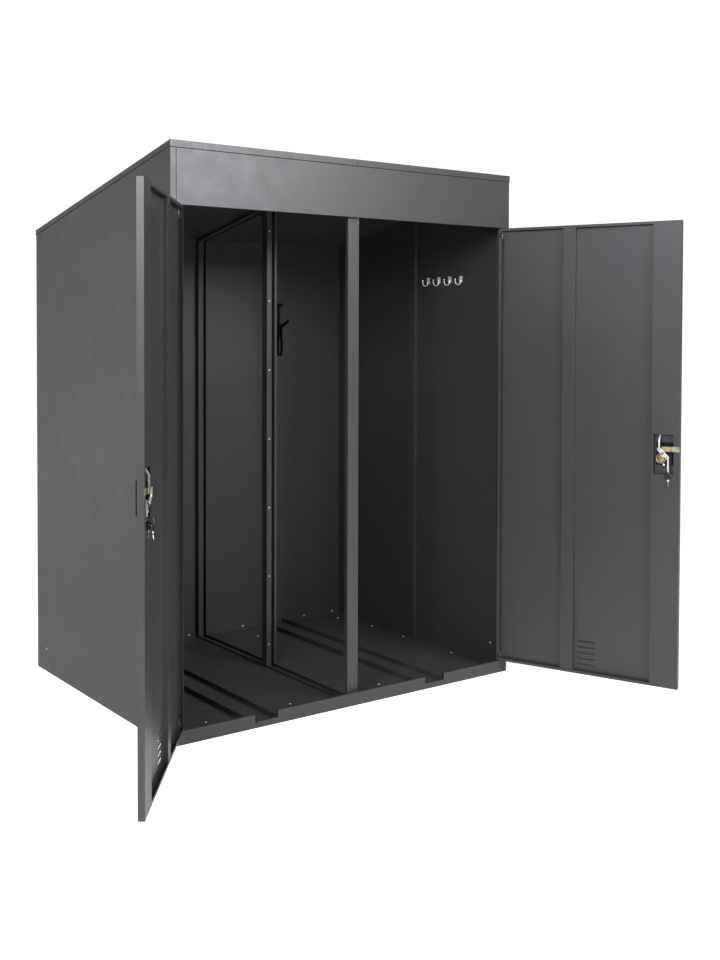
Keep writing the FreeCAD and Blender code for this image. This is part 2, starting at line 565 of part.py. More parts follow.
# ---------------------------------------------------------------- doors
# Door coordinates: a is the distance from the hinge edge, back the distance
# behind the outer face. The local origin of every door piece is the pivot
# axis at ground level, s is +1 on the left door and -1 on the right door.
def build_door(side):
    s = 1 if side == "left" else -1
    angle = -SHEET["open_left"].number if side == "left" else SHEET["open_right"].number
    px = PX if side == "left" else w - PX
    place = Placement(Vector(px - w / 2, PY - d / 2, 0), Rotation(Vector(0, 0, 1), angle))

    def A(a):
        return (Size.of(a) - q("pivot_inset")) * s

    def B(back):
        return Size.of(back) - q("pivot_back")

    def piece(name):
        b = new_body("%s_%s" % (side, name))
        b.Placement = place
        return b

    zb, zt, th, dw = q("door_bottom"), q("door_top"), q("door_thick"), q("door_width")
    sa = q("stile_at")

    # outer sheet with folded returns and lips, one hollow pan
    b = piece("door_skin")
    pad(b, "XZ", [rect(A(0), A(dw), zb, zt)], B(0), B(th))
    pocket(b, "XZ", [rect(A(q("hinge_lip")), A(sa), zb + q("door_lip"), zt - q("door_lip"))],
           B(th - T), B(th + 1))
    pocket(b, "XZ", [rect(A(sa), A(dw - T), zb + T, zt - T)], B(th - T), B(th + 1))
    pocket(b, "XY", [rect(A(T), A(dw - T), B(T), B(th - T))], zb + T, zt - T)
    # opening for the handle pan, ventilation slots, sight cut-outs at the pins
    pocket(b, "XZ", [rect(A(637), A(695), q("pan_low"), q("pan_high"))], B(-1), B(T + 1))
    # each slot is covered outside by a pressed hood that is open below
    vents, hoods, mouths = [], [], []
    over, half = q("hood_over"), q("hood_half")
    for i in range(5):
        z = q("vent_low") + q("vent_pitch") * i
        v0, v1 = q("vent_from"), q("vent_to")
        vents.append(rect(A(v0), A(v1), z - q("vent_height") / 2, z + q("vent_height") / 2))
        hoods.append(rect(A(v0 - over), A(v1 + over), z - half, z + half))
        mouths.append(rect(A(v0 - over + T), A(v1 + over - T), z - half - 1, z + half - T))
    pad(b, "XZ", hoods, B(-q("hood_out")), B(0))
    pocket(b, "XZ", mouths, B(T - q("hood_out")), B(0))
    pocket(b, "XZ", vents, B(-1), B(T + 1))
    pocket(b, "XZ", [rect(A(3), A(q("hinge_lip") + 1), zt - 37, zt - 17), rect(A(3), A(q("hinge_lip") + 1), zb + 11, zb + 26)],
           B(th - T - 1), B(th + 1))
    # holes in the top and bottom returns for the hinge pins and the lock rods
    pocket(b, "XY", [(A(q("pivot_inset")), B(q("pivot_back")), q("pin_radius")),
                     (A(q("rod_up_at")), B(q("rod_back")), q("rod_radius") + 0.5)], zt - T - 1, zt + 1)
    pocket(b, "XY", [(A(q("pivot_inset")), B(q("pivot_back")), q("pin_radius")),
                     (A(q("rod_down_at")), B(q("rod_back")), q("rod_radius") + 0.5)], zb - 1, zb + T + 1)

    # hat section stiffener, full height between the lips
    b = piece("door_stiffener")
    h0, h1, hf = q("hat_from"), q("hat_to"), q("hat_foot")
    top = th - T
    hat = [(A(h0 - hf), B(T)), (A(h0 + T), B(T)), (A(h0 + T), B(top - T)), (A(h1 - T), B(top - T)),
           (A(h1 - T), B(T)), (A(h1 + hf), B(T)), (A(h1 + hf), B(T * 2)), (A(h1), B(T * 2)),
           (A(h1), B(top)), (A(h0), B(top)), (A(h0), B(T * 2)), (A(h0 - hf), B(T * 2))]
    pad(b, "XY", [hat], zb + T, zt - T)

    # lock stile: folded cover that closes the free edge of the pan; the right
    # one carries the peg its key hangs on
    b = piece("lock_stile")
    cover = [(A(sa), B(T)), (A(sa + T), B(T)), (A(sa + T), B(th - T)), (A(dw - T), B(th - T)),
             (A(dw - T), B(th)), (A(sa), B(th))]
    pad(b, "XY", [cover], zb + T, zt - T)
    win_top = q("window_high") + (9 if side == "left" else 0)
    pocket(b, "XZ", [rect(A(q("window_from")), A(q("window_to")), q("window_low"), win_top)],
           B(th - T - 1), B(th + 1))
    if side == "right":
        pad(b, "XZ", [(A(684.5), 834.2, 1.2)], B(th - 0.5), B(25.6))

    # recessed handle pan in the outer face, open to the front
    b = piece("handle_pan")
    p0, p1 = q("pan_low"), q("pan_high")
    pad(b, "XZ", [rect(A(630), A(704), p0 - 6, p1 + 6)], B(-7.5), B(0))
    pad(b, "XZ", [rect(A(637.3), A(694.7), p0 + 0.3, p1 - 0.3)], B(0), B(13))
    pocket(b, "XZ", [rect(A(640), A(692), p0 + 3, p1 - 3)], B(-8.5), B(11.5))
    pocket(b, "XZ", [(A(q("lock_across")), q("lock_up"), q("spindle_radius") + 0.05)], B(10), B(14))

    # turn handle: round base, grip bar and spindle, bored for the key plug
    b = piece("turn_handle")
    la, lu = A(q("lock_across")), q("lock_up")
    pad(b, "XZ", [(la, lu, q("knob_radius"))], B(8.2), B(11.2))
    pad(b, "XZ", [rect(la - 9.5, la + 9.5, lu - 21, lu + 21)], B(-3), B(8.2))
    pad(b, "XZ", [(la, lu, q("spindle_radius"))], B(11.2), B(q("cam_back")))
    pocket(b, "XZ", [(la, lu, q("plug_radius") + q("plug_clear"))], B(-4), B(7))

    # key plug in the middle of the handle, with its key slot
    b = piece("key_plug")
    pad(b, "XZ", [(la, lu, q("plug_radius"))], B(-3.4), B(6.8))
    pocket(b, "XZ", [rect(la - 1.1, la + 1.1, lu - 4.5, lu + 4.5)], B(-4), B(4))

    # rod cam: the plate on the spindle that works both rods, with its two pins
    b = piece("rod_cam")
    up = (-14.5, 13.0)
    dn = (15.0, -15.0)
    ux, uz = up[0] - dn[0], up[1] - dn[1]
    ln = math.hypot(ux, uz)
    ux, uz = ux / ln, uz / ln
    nx, nz = -uz, ux
    hw = 7.0
    cb = q("cam_back")

    def P(base, f, h):
        return (la + s * (base[0] + ux * f + nx * h), lu + base[1] + uz * f + nz * h)

    outline = [P(up, 3, -hw), P(up, 7.5, -hw + 4), P(up, 7.5, hw - 4), P(up, 3, hw),
               P(dn, -3, hw), P(dn, -7.5, hw - 4), P(dn, -7.5, -hw + 4), P(dn, -3, -hw)]
    pad(b, "XZ", [outline], B(cb), B(cb + 2))
    pad(b, "XZ", [(la + s * up[0], lu + up[1], 2.5)], B(21.6), B(cb))
    pad(b, "XZ", [(la + s * dn[0], lu + dn[1], 2.5)], B(21.6), B(cb))
    pad(b, "XZ", [(la, lu, 5.5)], B(cb + 2), B(cb + 4))

    # boss of the lock case, seen through the window, with the block the bolt slides on
    b = piece("lock_case_boss")
    pad(b, "XZ", [(A(655.5), 895, 18.4)], B(13), B(18.5))
    pad(b, "XZ", [(A(655.5), 895, 13)], B(18.5), B(20.2))
    pocket(b, "XZ", [(la, lu, q("spindle_radius") + 0.6)], B(12), B(21))
    pad(b, "XZ", [(A(666.2), 872.7, 4.5)], B(13), B(19.5))
    pad(b, "XZ", [rect(A(664), A(692.8), 873, 880)], B(13), B(14.5))
    pad(b, "XZ", [rect(A(688.5), A(692.8), 880, 936)], B(13), B(14.5))
    pad(b, "XZ", [rect(A(676), A(692.8), 926, 936)], B(13), B(q("bolt_back") - 0.4))
    if side == "left":
        # arm over the lower rod, with the peg the key ring hangs on
        pad(b, "XZ", [rect(A(687.8), A(692), 854, 880)], B(13), B(14.5))
        pad(b, "XZ", [rect(A(687.8), A(692), 855.1, 858.9)], B(14.5), B(22.8))
        pad(b, "XZ", [rect(A(680), A(692), 855.1, 858.9)], B(21.7), B(22.8))
        pad(b, "XZ", [(A(682), 857, 1.2)], B(22.8), B(35))

    # slide bolt, drawn back at rest, and the plate its end passes over
    b = piece("slide_bolt")
    bt = B(q("bolt_back"))
    pad(b, "XZ", [rect(A(660), A(q("bolt_reach")), q("bolt_low"), q("bolt_high"))], bt, bt + q("bolt_thick"))
    b = piece("bolt_slide_plate")
    pad(b, "XZ", [rect(A(693.5), A(724), 921.5, 940.5)], B(th), B(th + 0.8))

    # lock rods: round bars inside the stile; the end at the lock is a flat
    # strip that comes out through the window to the cam
    rb = SHEET["rod_back"].number - PY
    for name, at, radius, z_far, z_bend, z_in, z_end in (
            ("rod_upper", SHEET["rod_up_at"].number, SHEET["rod_radius"].number,
             SHEET["door_top"].number - 0.6, 988.0 if s > 0 else 980.0, 969.5 if s > 0 else 962.0, 925.0),
            ("rod_lower", SHEET["rod_down_at"].number, SHEET["rod_radius"].number - 0.05,
             SHEET["door_bottom"].number + 0.6, 834.0, 856.0, 905.0)):
        x = s * (at - SHEET["pivot_inset"].number)
        y_in = 18.9 - PY
        lo, hi = min(z_far, z_bend), max(z_far, z_bend)
        bar = Part.makeCylinder(radius, hi - lo, Vector(x, rb, lo))
        step = 8.0 if z_bend > z_in else -8.0
        strip = bent_bar([(rb, z_bend + step), (rb, z_bend), (y_in, z_in), (y_in, z_end)], "y", 5.0, 4.4, 0)
        # turned so that its depth runs along the door's depth
        strip.rotate(Vector(0, 0, 0), Vector(0, 0, 1), 90)
        strip.translate(Vector(x, 0, 0))
        rod = bar.fuse(strip).removeSplitter()
        if rod.ShapeType != "Solid" and len(rod.Solids) == 1:
            rod = rod.Solids[0]
        part_shape("%s_%s" % (side, name), [rod], place)

    # hinge pins, top and bottom, fixed in the door
    pr_ = SHEET["pin_radius"].number
    zt_, zb_ = SHEET["door_top"].number, SHEET["door_bottom"].number
    pins = [Part.makeCylinder(pr_, 46, Vector(0, 0, zt_ - 38)),
            Part.makeCylinder(pr_, 46, Vector(0, 0, zb_ - 8))]
    part_shape("%s_hinge_pins" % side, pins, place)

    # keys: a round head with a large hole, and a blade with a stepped edge
    kr = SHEET["key_radius"].number

    def key(at, back, z, lean=0.0, rise=0.0):
        x, y = s * (at - SHEET["pivot_inset"].number), back - PY
        head = Part.makeCylinder(kr, 2.6, Vector(x, y - 1.3, z), Vector(0, 1, 0))
        head = head.cut(Part.makeCylinder(5, 4, Vector(x, y - 2, z + rise), Vector(0, 1, 0)))
        blade = [(-3.5, -10.5), (3.5, -10.5), (3.5, -17), (3.5, -22), (2.4, -23.5), (3.3, -26), (2.2, -28),
                 (3.2, -31), (2.0, -33), (0.4, -37), (-2.4, -37), (-3.5, -35.6)]
        blade = [Vector(x + u, y - 0.9, z + v) for u, v in blade]
        blade = Part.Face(Part.makePolygon(blade + [blade[0]])).extrude(Vector(0, 1.8, 0))
        one = head.fuse(blade).removeSplitter()
        if lean:
            one.rotate(Vector(x, y, z + rise + 4), Vector(1, 0, 0), lean)
        return one

    if side == "right":
        keys = [key(684.5, 23, 830.8)]
    else:
        # split ring over the peg, in a plane turned from the door's plane, and
        # the two keys on its lower half, spread a little
        turn, mean, level = math.radians(48), 11.4, 848.4
        cx, cy = 682 - SHEET["pivot_inset"].number, 30.6 - PY
        keys = [Part.makeTorus(mean, 0.8, Vector(cx, cy, level), Vector(math.sin(turn), -math.cos(turn), 0))]
        for along, lean in ((-6.5, 5.0), (4.5, -6.0)):
            at = 682 + math.cos(turn) * along
            back = 30.6 + math.sin(turn) * along
            low = level - math.sqrt(mean * mean - along * along)
            keys.append(key(at, back, low - 4.2, -lean, 2.0))
    part_shape("%s_keys" % side, keys, place)


build_door("left")
build_door("right")

doc.recompute()

# ---------------------------------------------------------------- checks and files
bad = []
for obj in doc.Objects:
    state = [str(x) for x in obj.State]
    if "Invalid" in state or "Error" in state:
        bad.append("%s %s" % (obj.Label, state))
for obj in LABELS:
    shape = obj.Shape
    if shape.isNull() or not shape.isValid():
        bad.append("%s shape" % obj.Label)
    elif not shape.Solids:
        bad.append("%s no solid" % obj.Label)
if bad:
    raise RuntimeError("failed objects: " + "; ".join(bad))

os.makedirs("parts", exist_ok=True)
for obj in LABELS:
    obj.Shape.exportStep(os.path.join("parts", obj.Label + ".step"))
    box = obj.Shape.BoundBox
    print("%-28s solids %2d volume %12.1f  x %8.1f %8.1f  y %8.1f %8.1f  z %8.1f %8.1f" % (
        obj.Label, len(obj.Shape.Solids), obj.Shape.Volume, box.XMin, box.XMax,
        box.YMin, box.YMax, box.ZMin, box.ZMax))
print("nodes", len(LABELS))
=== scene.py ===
import json
import math

import bmesh
import bpy
from mathutils import Matrix, Vector


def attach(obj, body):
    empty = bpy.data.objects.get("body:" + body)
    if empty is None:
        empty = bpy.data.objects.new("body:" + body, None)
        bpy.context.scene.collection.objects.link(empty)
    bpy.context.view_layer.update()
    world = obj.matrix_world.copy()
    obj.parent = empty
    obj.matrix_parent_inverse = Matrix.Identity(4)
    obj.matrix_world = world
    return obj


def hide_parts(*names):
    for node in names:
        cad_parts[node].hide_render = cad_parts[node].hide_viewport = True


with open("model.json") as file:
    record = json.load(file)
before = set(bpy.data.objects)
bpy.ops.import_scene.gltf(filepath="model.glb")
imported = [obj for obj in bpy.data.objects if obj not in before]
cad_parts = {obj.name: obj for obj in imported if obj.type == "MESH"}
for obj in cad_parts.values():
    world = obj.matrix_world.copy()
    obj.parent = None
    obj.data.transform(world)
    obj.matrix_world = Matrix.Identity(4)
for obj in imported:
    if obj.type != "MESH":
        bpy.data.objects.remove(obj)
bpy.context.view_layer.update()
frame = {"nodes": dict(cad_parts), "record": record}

NODES = frame["nodes"]
MM = 0.001


# ------------------------------------------------------------------ materials
def new_material(name):
    m = bpy.data.materials.new(name)
    m.use_nodes = True
    tree = m.node_tree
    for n in list(tree.nodes):
        tree.nodes.remove(n)
    out = tree.nodes.new("ShaderNodeOutputMaterial")
    bsdf = tree.nodes.new("ShaderNodeBsdfPrincipled")
    tree.links.new(bsdf.outputs["BSDF"], out.inputs["Surface"])
    return m, tree, bsdf


def coords(tree, scale=(1, 1, 1)):
    tc = tree.nodes.new("ShaderNodeTexCoord")
    mp = tree.nodes.new("ShaderNodeMapping")
    mp.inputs["Scale"].default_value = scale
    tree.links.new(tc.outputs["Object"], mp.inputs["Vector"])
    return mp.outputs["Vector"]


def noise(tree, vec, scale, detail=3.0, rough=0.5):
    n = tree.nodes.new("ShaderNodeTexNoise")
    n.inputs["Scale"].default_value = scale
    n.inputs["Detail"].default_value = detail
    n.inputs["Roughness"].default_value = rough
    tree.links.new(vec, n.inputs["Vector"])
    return n.outputs["Fac"]


def ramp(tree, fac, stops):
    r = tree.nodes.new("ShaderNodeValToRGB")
    els = r.color_ramp.elements
    while len(els) > 1:
        els.remove(els[-1])
    els[0].position, els[0].color = stops[0][0], (*stops[0][1], 1)
    for pos, col in stops[1:]:
        e = els.new(pos)
        e.color = (*col, 1)
    tree.links.new(fac, r.inputs["Fac"])
    return r.outputs["Color"]


def to_range(tree, fac, lo, hi, src=(0.3, 0.7)):
    m = tree.nodes.new("ShaderNodeMapRange")
    m.inputs["From Min"].default_value = src[0]
    m.inputs["From Max"].default_value = src[1]
    m.inputs["To Min"].default_value = lo
    m.inputs["To Max"].default_value = hi
    tree.links.new(fac, m.inputs["Value"])
    return m.outputs["Result"]


def bump(tree, height, strength, distance, normal=None):
    b = tree.nodes.new("ShaderNodeBump")
    b.inputs["Strength"].default_value = strength
    b.inputs["Distance"].default_value = distance
    tree.links.new(height, b.inputs["Height"])
    if normal is not None:
        tree.links.new(normal, b.inputs["Normal"])
    return b.outputs["Normal"]


def mix(tree, fac, a, b):
    m = tree.nodes.new("ShaderNodeMix")
    m.data_type = "RGBA"
    tree.links.new(fac, m.inputs[0])
    for socket, value in ((m.inputs[6], a), (m.inputs[7], b)):
        if isinstance(value, tuple):
            socket.default_value = (*value, 1)
        else:
            tree.links.new(value, socket)
    return m.outputs[2]


def powder_coat(name, base, rough=(0.33, 0.40), dust=0.0):
    """Anthracite powder coat: fine orange peel, faint cloudiness, a little dust low down."""
    m, t, b = new_material(name)
    v = coords(t)
    cloud = noise(t, v, 2.2, 4.0, 0.55)
    r, g, bl = base
    col = ramp(t, cloud, [(0.30, (r * 0.93, g * 0.93, bl * 0.93)), (0.70, (r * 1.07, g * 1.07, bl * 1.07))])
    if dust:
        sep = t.nodes.new("ShaderNodeSeparateXYZ")
        t.links.new(v, sep.inputs[0])
        low = to_range(t, sep.outputs[2], dust, 0.0, (0.0, 0.35))
        speck = to_range(t, noise(t, v, 35.0, 6.0, 0.7), 0.35, 1.0, (0.35, 0.65))
        mul = t.nodes.new("ShaderNodeMath")
        mul.operation = "MULTIPLY"
        t.links.new(low, mul.inputs[0])
        t.links.new(speck, mul.inputs[1])
        col = mix(t, mul.outputs[0], col, (0.22, 0.20, 0.18))
    t.links.new(col, b.inputs["Base Color"])
    t.links.new(to_range(t, noise(t, v, 14.0, 5.0, 0.6), *rough), b.inputs["Roughness"])
    peel = noise(t, v, 620.0, 2.0, 0.5)
    t.links.new(bump(t, peel, 0.10, 0.0003), b.inputs["Normal"])
    b.inputs["Specular IOR Level"].default_value = 0.5
    return m


def plated(name, base, rough=(0.24, 0.36), scale=(1, 1, 1), metal=1.0):
    m, t, b = new_material(name)
    v = coords(t, scale)
    n = noise(t, v, 180.0, 4.0, 0.6)
    r, g, bl = base
    col = ramp(t, n, [(0.3, (r * 0.80, g * 0.80, bl * 0.80)), (0.7, (min(1, r * 1.08), min(1, g * 1.08), min(1, bl * 1.08)))])
    t.links.new(col, b.inputs["Base Color"])
    t.links.new(to_range(t, noise(t, v, 90.0, 3.0, 0.5), *rough), b.inputs["Roughness"])
    t.links.new(bump(t, noise(t, v, 700.0, 2.0, 0.5), 0.12, 0.0001), b.inputs["Normal"])
    b.inputs["Metallic"].default_value = metal
    return m


def wall_head(name, base):
    """Bare zinc colour on the heads below 0.15 m, the cabinet's dark base colour without metal on the heads above."""
    m, t, b = new_material(name)
    pos = t.nodes.new("ShaderNodeTexCoord")
    xyz = t.nodes.new("ShaderNodeSeparateXYZ")
    t.links.new(pos.outputs["Object"], xyz.inputs[0])
    low = t.nodes.new("ShaderNodeMath")
    low.operation = "LESS_THAN"
    low.inputs[1].default_value = 0.15
    t.links.new(xyz.outputs[2], low.inputs[0])
    col = ramp(t, low.outputs[0], [(0.0, BASE), (1.0, base)])
    t.links.new(col, b.inputs["Base Color"])
    t.links.new(to_range(t, low.outputs[0], 0.0, 0.35), b.inputs["Metallic"])
    b.inputs["Roughness"].default_value = 0.35
    return m


def passivated(name, stops):
    """Passivated zinc: iridescent, with pinkish and greenish clouds."""
    m, t, b = new_material(name)
    v = coords(t)
    n = noise(t, v, 75.0, 3.0, 0.6)
    t.links.new(ramp(t, n, stops), b.inputs["Base Color"])
    t.links.new(to_range(t, noise(t, v, 150.0, 3.0, 0.5), 0.26, 0.42), b.inputs["Roughness"])
    t.links.new(bump(t, noise(t, v, 800.0, 2.0, 0.5), 0.1, 0.0001), b.inputs["Normal"])
    b.inputs["Metallic"].default_value = 0.9
    return m


def plastic(name, base, rough=(0.42, 0.55), grain=900.0, shine=0.5):
    m, t, b = new_material(name)
    v = coords(t)
    r, g, bl = base
    col = ramp(t, noise(t, v, 30.0, 3.0, 0.5), [(0.3, (r * 0.85, g * 0.85, bl * 0.85)), (0.7, (r * 1.15, g * 1.15, bl * 1.15))])
    t.links.new(col, b.inputs["Base Color"])
    t.links.new(to_range(t, noise(t, v, 60.0, 3.0, 0.5), *rough), b.inputs["Roughness"])
    t.links.new(bump(t, noise(t, v, grain, 2.0, 0.5), 0.15, 0.0001), b.inputs["Normal"])
    b.inputs["Specular IOR Level"].default_value = shine
    return m


def woven(name, base):
    """Black nylon webbing with its fine ribs."""
    m, t, b = new_material(name)
    v = coords(t)
    waves = []
    for direction, scale in (("Z", 260.0), ("Y", 300.0)):
        w = t.nodes.new("ShaderNodeTexWave")
        w.wave_type = "BANDS"
        w.bands_direction = direction
        w.inputs["Scale"].default_value = scale
        w.inputs["Distortion"].default_value = 0.6
        t.links.new(v, w.inputs["Vector"])
        waves.append(w.outputs["Fac"])
    mul = t.nodes.new("ShaderNodeMath")
    mul.operation = "MULTIPLY"
    t.links.new(waves[0], mul.inputs[0])
    t.links.new(waves[1], mul.inputs[1])
    r, g, bl = base
    col = ramp(t, mul.outputs[0], [(0.1, (r * 0.6, g * 0.6, bl * 0.6)), (0.8, (r * 1.6, g * 1.6, bl * 1.6))])
    t.links.new(col, b.inputs["Base Color"])
    b.inputs["Roughness"].default_value = 0.8
    b.inputs["Specular IOR Level"].default_value = 0.2
    t.links.new(bump(t, mul.outputs[0], 0.5, 0.0003), b.inputs["Normal"])
    return m


BASE = (0.042, 0.042, 0.0437)
M_BODY = powder_coat("powder_coat_anthracite", BASE)
M_FLOOR = powder_coat("powder_coat_floor", BASE, (0.42, 0.55), 0.10)
M_BRIGHT = plated("bright_zinc", (0.62, 0.62, 0.64))
M_SCREW = plated("screw_zinc", (0.80, 0.76, 0.68), (0.25, 0.35), (1, 1, 1), 0.35)
M_HOOK = plated("hook_zinc", (0.84, 0.81, 0.74), (0.22, 0.32), (1, 1, 1), 0.35)
M_DULL = plated("dull_zinc", (0.20, 0.20, 0.21), (0.45, 0.6))
M_WHITE = plated("white_zinc", (0.77, 0.77, 0.74), (0.28, 0.40), (1, 1, 1), 0.45)
M_YELLOW = passivated("yellow_zinc", [(0.30, (0.34, 0.31, 0.15)), (0.45, (0.50, 0.45, 0.24)),
                                      (0.58, (0.60, 0.54, 0.30)), (0.72, (0.48, 0.34, 0.22))])
M_COPPER = passivated("copper_tinted_zinc", [(0.30, (0.38, 0.22, 0.12)), (0.5, (0.54, 0.32, 0.18)), (0.7, (0.44, 0.29, 0.19))])
M_DARKSCREW = plastic("black_screw", (0.004, 0.004, 0.004), (0.55, 0.7), 900.0, 0.2)
M_BLACK = plastic("black_coated_steel", (0.005, 0.005, 0.005), (0.5, 0.65), 900.0, 0.16)
M_WEB = woven("black_webbing", (0.007, 0.007, 0.007))
M_NYLON = plastic("grey_nylon", (0.06, 0.06, 0.06))
M_PAN = plastic("black_plastic", (0.0045, 0.0045, 0.0047), (0.5, 0.65), 900.0, 0.12)
M_KEYHEAD = plastic("key_head_plastic", (0.010, 0.010, 0.011), (0.3, 0.42))
M_KEY = plated("key_nickel", (0.30, 0.30, 0.31))
M_WALLHEAD = wall_head("wall_head_zinc", (0.80, 0.76, 0.68))
M_EYE = plated("cam_eye_zinc", (0.34, 0.33, 0.31), (0.35, 0.5))
M_BOSS = plastic("black_passivated_zinc", (0.010, 0.0095, 0.008), (0.45, 0.6), 900.0, 0.3)
# black for the bead under the roof lip: painted shadow, standing in for the shade line beneath the lip
M_SHADOW_LINE = plastic("painted_shadow_line_black", (0.005, 0.005, 0.005), (0.6, 0.75), 900.0, 0.2)

SLOT_MATERIAL = {
    "powder_coat": M_BODY, "bright_steel": M_BRIGHT, "white_zinc": M_WHITE, "yellow_zinc": M_YELLOW,
    "dark_screw": M_DARKSCREW, "black_coat": M_BLACK, "webbing": M_WEB, "nylon": M_NYLON,
    "black_plastic": M_PAN, "key_steel": M_KEY,
}


def set_material(obj, mat):
    obj.data.materials.clear()
    obj.data.materials.append(mat)


def soften(obj, width, segments=2):
    """Round the sharp edges of a folded sheet a little, as real bends are."""
    w = obj.modifiers.new("weld", "WELD")
    w.merge_threshold = 0.00001
    d = obj.modifiers.new("planar", "DECIMATE")
    d.decimate_type = "DISSOLVE"
    d.angle_limit = math.radians(1.0)
    b = obj.modifiers.new("edges", "BEVEL")
    b.width = width
    b.segments = segments
    b.limit_method = "ANGLE"
    b.angle_limit = math.radians(35)
    b.use_clamp_overlap = True
    b.harden_normals = False
    wn = obj.modifiers.new("normals", "WEIGHTED_NORMAL")
    wn.keep_sharp = False


SOFT = {
    "coat_hook_rails": 0.4, "hinge_bushes": 0.2, "floor_pan": 0.7,
}
PLAIN = ("coat_hooks", "wheel_hooks", "wheel_straps", "partition_rivets", "centre_post_screws",
         "floor_screws", "wall_screws", "side_screws")

for row in frame["record"]["subparts"]:
    name = row["node"]
    node = NODES[name]
    set_material(node, SLOT_MATERIAL[row["material_slot"]])
    if name in PLAIN:
        continue
    if name.endswith("_keys") or name.endswith("_hinge_pins"):
        soften(node, 0.0002, 2)
    elif name.endswith(("_rod_upper", "_rod_lower")):
        soften(node, 0.0004, 2)
    elif name.endswith(("_rod_cam", "_slide_bolt", "_bolt_slide_plate", "_lock_case_boss", "_key_plug")):
        soften(node, 0.00035, 2)
    elif name.endswith(("_handle_pan", "_turn_handle")):
        soften(node, 0.0009, 3)
    else:
        soften(node, SOFT.get(name, 0.55) * MM, 2)

for name in ("floor_pan", "wheel_channel_left", "wheel_channel_right"):
    set_material(NODES[name], M_FLOOR)
set_material(NODES["coat_hook_rails"], M_DULL)
for side in ("left", "right"):
    set_material(NODES[side + "_hinge_pins"], M_DULL)
    set_material(NODES[side + "_lock_case_boss"], M_BOSS)


# ------------------------------------------------------------------ places
def cab(x, y, z):
    """A place in the cabinet: from the left side, behind the front plane, above the ground, in mm."""
    return Vector(((x - 750.0) * MM, (y - 575.0) * MM, z * MM))


DOORS = {"left": (1, math.radians(-126.4), 31.0), "right": (-1, math.radians(111.5), 1469.0)}


def on_door(side):
    """Places on a door at rest: a from the hinge edge, back behind the outer face, z."""
    s, th, px = DOORS[side]

    def place(a, back, z):
        lx, ly = s * (a - 8.5), back - 4.5
        return cab(px + lx * math.cos(th) - ly * math.sin(th), 4.5 + lx * math.sin(th) + ly * math.cos(th), z)
    return place


def facing(pos, axis):
    """A local frame at pos (mm, cabinet) whose third axis is axis."""
    axis = Vector(axis).normalized()
    side = Vector((0, 0, 1)) if abs(axis.z) < 0.9 else Vector((0, 1, 0))
    u = side.cross(axis).normalized()
    v = axis.cross(u)
    origin = cab(*pos)

    def place(x, y, h):
        return origin + (u * x + v * y + axis * h) * MM
    return place


# ------------------------------------------------------------------ mesh building
def finish(name, bm, mat, body, replaces=(), bevel=0.0, angle=35, more=()):
    bmesh.ops.remove_doubles(bm, verts=bm.verts, dist=1e-7)
    bmesh.ops.recalc_face_normals(bm, faces=bm.faces)
    me = bpy.data.meshes.new(name)
    bm.to_mesh(me)
    bm.free()
    for p in me.polygons:
        p.use_smooth = True
    ob = bpy.data.objects.new(name, me)
    bpy.context.scene.collection.objects.link(ob)
    ob.data.materials.append(mat)
    for m in more:
        ob.data.materials.append(m)
    if bevel:
        b = ob.modifiers.new("edges", "BEVEL")
        b.width = bevel * MM
        b.segments = 2
        b.limit_method = "ANGLE"
        b.angle_limit = math.radians(angle)
        b.use_clamp_overlap = True
        w = ob.modifiers.new("normals", "WEIGHTED_NORMAL")
        w.keep_sharp = False
    else:
        me.set_sharp_from_angle(angle=math.radians(angle))
    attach(ob, body)
    if replaces:
        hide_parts(*replaces)
    return ob


def revolve(bm, place, rings, segs=24, mat=0):
    """rings: (radius or function of the angle, height); closed at both ends."""
    loops = []
    for radius, h in rings:
        loop = []
        for i in range(segs):
            t = 2 * math.pi * i / segs
            r = radius(t) if callable(radius) else radius
            loop.append(bm.verts.new(place(r * math.cos(t), r * math.sin(t), h)))
        loops.append(loop)
    faces = []
    for a, b in zip(loops, loops[1:]):
        for i in range(segs):
            j = (i + 1) % segs
            faces.append(bm.faces.new((a[i], a[j], b[j], b[i])))
    faces.append(bm.faces.new(loops[0][::-1]))
    faces.append(bm.faces.new(loops[-1]))
    for f in faces:
        f.material_index = mat
    return faces


def ring_of(bm, place, profile, segs=32, mat=0):
    """A closed profile of (radius, height) turned all round."""
    loops = []
    for i in range(segs):
        t = 2 * math.pi * i / segs
        loops.append([bm.verts.new(place(r * math.cos(t), r * math.sin(t), h)) for r, h in profile])
    n = len(profile)
    for i in range(segs):
        a, b = loops[i], loops[(i + 1) % segs]
        for k in range(n):
            f = bm.faces.new((a[k], a[(k + 1) % n], b[(k + 1) % n], b[k]))
            f.material_index = mat


def smooth_path(pts, per=6, closed=False):
    """Catmull-Rom points through pts."""
    out = []
    n = len(pts)
    for i in range(n if closed else n - 1):
        if closed:
            p0, p1, p2, p3 = pts[i - 1], pts[i], pts[(i + 1) % n], pts[(i + 2) % n]
        else:
            p1, p2 = pts[i], pts[i + 1]
            p0 = pts[i - 1] if i else p1 * 2 - p2
            p3 = pts[i + 2] if i + 2 < n else p2 * 2 - p1
        for k in range(per):
            t = k / per
            out.append(0.5 * ((2 * p1) + (p2 - p0) * t + (2 * p0 - 5 * p1 + 4 * p2 - p3) * t * t
                              + (3 * p1 - p0 - 3 * p2 + p3) * t ** 3))
    if not closed:
        out.append(pts[-1].copy())
    return out


